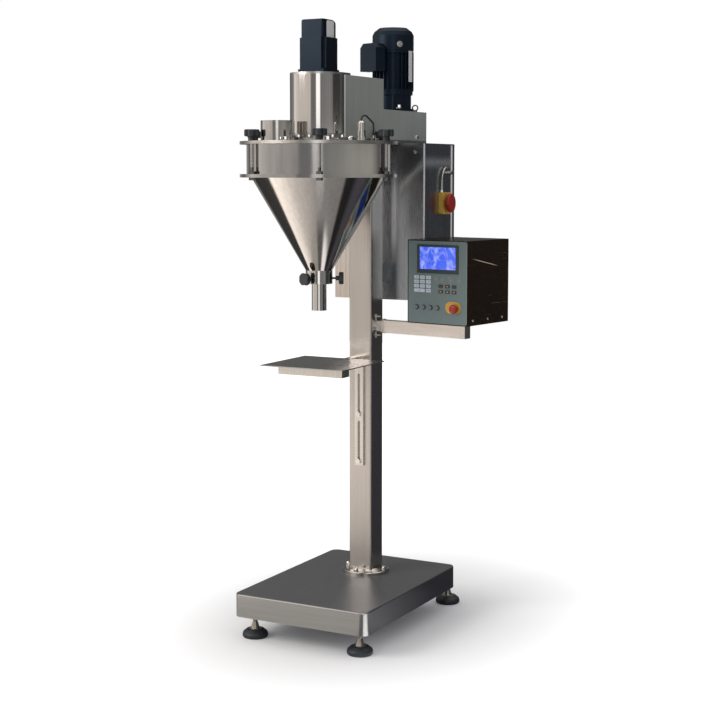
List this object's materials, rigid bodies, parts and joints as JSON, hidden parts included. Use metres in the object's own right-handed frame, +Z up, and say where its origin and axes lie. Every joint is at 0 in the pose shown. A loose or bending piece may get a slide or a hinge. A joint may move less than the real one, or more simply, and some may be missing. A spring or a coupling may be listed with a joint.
{
  "type": "powder filling machine",
  "caption": "Floor-standing auger filler with a conical hopper, servo and agitator drives, swing-arm control box, adjustable tray, cabinet and base on feet.",
  "frame": {"origin": "on the floor, below the middle of the whole machine's box", "axes": "+X to the machine's right seen from its front, +Y to its back, +Z up"},
  "size_m": [0.665, 0.8532, 1.8723],
  "materials": {
    "brushed_steel": "stainless sheet, brushed",
    "polished_steel": "stainless steel, polished",
    "frame_steel": "machined steel",
    "foot_rubber": "moulded rubber, satin",
    "galvanised_plate": "galvanised",
    "grey_plastic": "moulded cases",
    "black_motor": "black enamel, satin",
    "blue_motor": "dark blue hammer paint",
    "belt_rubber": "rubber belt",
    "pulley_alloy": "turned alloy",
    "lead_sheath": "cable sheath",
    "knob_black": "moulded plastic",
    "black_enamel": "gloss enamel",
    "panel_grey": "printed panel foil",
    "screen_blue": "backlit screen",
    "stop_red": "gloss",
    "stop_yellow": "satin"
  },
  "bodies": {
    "frame": {"base_cover": "brushed_steel", "base_frame": "frame_steel", "levelling_feet": "foot_rubber", "column": "brushed_steel", "column_flange": "polished_steel", "flange_nuts": "polished_steel", "head_plate": "brushed_steel", "cabinet_brackets": "brushed_steel", "cabinet_shell": "brushed_steel", "mounting_plate": "galvanised_plate", "drive_units": "grey_plastic", "housing_shell": "brushed_steel", "servo_cover": "polished_steel", "servo_stand": "frame_steel", "servo_motor": "black_motor", "bearing_housing": "frame_steel", "bearings": "polished_steel", "drive_belt": "belt_rubber", "gear_head": "blue_motor", "agitator_motor": "blue_motor", "fan_cowl": "blue_motor", "lid_plate": "brushed_steel", "feed_port": "polished_steel", "level_sensor": "polished_steel", "leads": "lead_sheath", "hopper_band": "brushed_steel", "hopper_cone": "polished_steel", "nozzle_collar": "polished_steel", "filling_nozzle": "polished_steel", "clamp_rods": "polished_steel", "slide_bolts": "polished_steel", "arm_bracket": "polished_steel", "side_stop_box": "stop_yellow"},
    "cabinet_door": {"cabinet_door": "brushed_steel"},
    "door_lock": {"door_lock": "polished_steel"},
    "agitator": {"agitator_shaft": "polished_steel", "agitator_blade": "polished_steel"},
    "drive_pulley": {"drive_pulley": "pulley_alloy"},
    "auger": {"auger_shaft": "polished_steel", "auger_flight": "polished_steel"},
    "tray": {"tray_plate": "brushed_steel", "tray_bracket": "brushed_steel"},
    "control_station": {"swing_arm": "brushed_steel", "control_box": "black_enamel", "control_panel": "panel_grey", "display_window": "screen_blue"},
    "panel_stop_knob": {"panel_stop_knob": "stop_red"},
    "side_stop_knob": {"side_stop_knob": "stop_red"},
    "collar_knob_front": {"collar_knob_front": "knob_black"},
    "collar_knob_right": {"collar_knob_right": "knob_black"},
    "panel_button_1": {"panel_button_1": "knob_black"},
    "panel_button_2": {"panel_button_2": "knob_black"},
    "panel_button_3": {"panel_button_3": "knob_black"},
    "panel_button_4": {"panel_button_4": "knob_black"},
    "lid_knob_1": {"lid_knob_1": "knob_black"},
    "lid_knob_2": {"lid_knob_2": "knob_black"},
    "lid_knob_3": {"lid_knob_3": "knob_black"},
    "lid_knob_4": {"lid_knob_4": "knob_black"},
    "lid_knob_5": {"lid_knob_5": "knob_black"},
    "lid_knob_6": {"lid_knob_6": "knob_black"}
  },
  "joints": [
    {"name": "agitator_turn", "type": "hinge", "parent": "frame", "child": "agitator", "pos_m": [-0.086, -0.19265, 1.45], "axis": [0, 0, 1], "continuous": true},
    {"name": "drive_pulley_turn", "type": "hinge", "parent": "frame", "child": "drive_pulley", "pos_m": [-0.086, 0.29235, 1.56], "axis": [0, 0, 1], "continuous": true},
    {"name": "auger_turn", "type": "hinge", "parent": "frame", "child": "auger", "pos_m": [-0.086, -0.19265, 1.3], "axis": [0, 0, 1], "continuous": true},
    {"name": "tray_height", "type": "slide", "parent": "frame", "child": "tray", "axis": [0, 0, 1], "range_m": [-0.12, 0]},
    {"name": "arm_swivel", "type": "hinge", "parent": "frame", "child": "control_station", "pos_m": [-0.026, 0.11235, 0.93], "axis": [0, 0, 1], "range_deg": [-60, 0]},
    {"name": "cabinet_door_hinge", "type": "hinge", "parent": "frame", "child": "cabinet_door", "pos_m": [-0.254, 0.39135, 1.255], "axis": [0, 0, 1], "range_deg": [0, 110]},
    {"name": "door_lock_turn", "type": "hinge", "parent": "cabinet_door", "child": "door_lock", "pos_m": [0.04401, 0.40735, 1.255], "axis": [0, 1, 0], "range_deg": [0, 90]},
    {"name": "side_stop_press", "type": "slide", "parent": "frame", "child": "side_stop_knob", "axis": [-1, 0, 0], "range_m": [0, 0.005], "stiffness_N_per_m": 3000},
    {"name": "panel_stop_press", "type": "slide", "parent": "control_station", "child": "panel_stop_knob", "axis": [0.165, 0.9863, 0], "range_m": [0, 0.005], "stiffness_N_per_m": 2000},
    {"name": "panel_button_1_press", "type": "slide", "parent": "control_station", "child": "panel_button_1", "axis": [0.165, 0.9863, 0], "range_m": [0, 0.002], "stiffness_N_per_m": 800},
    {"name": "panel_button_2_press", "type": "slide", "parent": "control_station", "child": "panel_button_2", "axis": [0.165, 0.9863, 0], "range_m": [0, 0.002], "stiffness_N_per_m": 800},
    {"name": "panel_button_3_press", "type": "slide", "parent": "control_station", "child": "panel_button_3", "axis": [0.165, 0.9863, 0], "range_m": [0, 0.002], "stiffness_N_per_m": 800},
    {"name": "panel_button_4_press", "type": "slide", "parent": "control_station", "child": "panel_button_4", "axis": [0.165, 0.9863, 0], "range_m": [0, 0.002], "stiffness_N_per_m": 800},
    {"name": "lid_knob_1_turn", "type": "hinge", "parent": "frame", "child": "lid_knob_1", "pos_m": [0.1375, -0.19265, 1.52], "axis": [0, 0, 1], "continuous": true},
    {"name": "lid_knob_2_turn", "type": "hinge", "parent": "frame", "child": "lid_knob_2", "pos_m": [0.02576, 0.00091, 1.52], "axis": [0, 0, 1], "continuous": true},
    {"name": "lid_knob_3_turn", "type": "hinge", "parent": "frame", "child": "lid_knob_3", "pos_m": [-0.19775, 0.00091, 1.52], "axis": [0, 0, 1], "continuous": true},
    {"name": "lid_knob_4_turn", "type": "hinge", "parent": "frame", "child": "lid_knob_4", "pos_m": [-0.3095, -0.19265, 1.52], "axis": [0, 0, 1], "continuous": true},
    {"name": "lid_knob_5_turn", "type": "hinge", "parent": "frame", "child": "lid_knob_5", "pos_m": [-0.19775, -0.38621, 1.52], "axis": [0, 0, 1], "continuous": true},
    {"name": "lid_knob_6_turn", "type": "hinge", "parent": "frame", "child": "lid_knob_6", "pos_m": [0.02576, -0.38621, 1.52], "axis": [0, 0, 1], "continuous": true},
    {"name": "collar_knob_front_turn", "type": "hinge", "parent": "frame", "child": "collar_knob_front", "pos_m": [-0.09468, -0.24189, 1.098], "axis": [-0.1736, -0.9848, 0], "continuous": true},
    {"name": "collar_knob_right_turn", "type": "hinge", "parent": "frame", "child": "collar_knob_right", "pos_m": [-0.04185, -0.16918, 1.098], "axis": [0.8829, 0.4695, 0], "continuous": true}
  ],
  "couplings": [
    {"joint": "drive_pulley_turn", "follows": "agitator_turn", "ratio": 1.2}
  ]
}
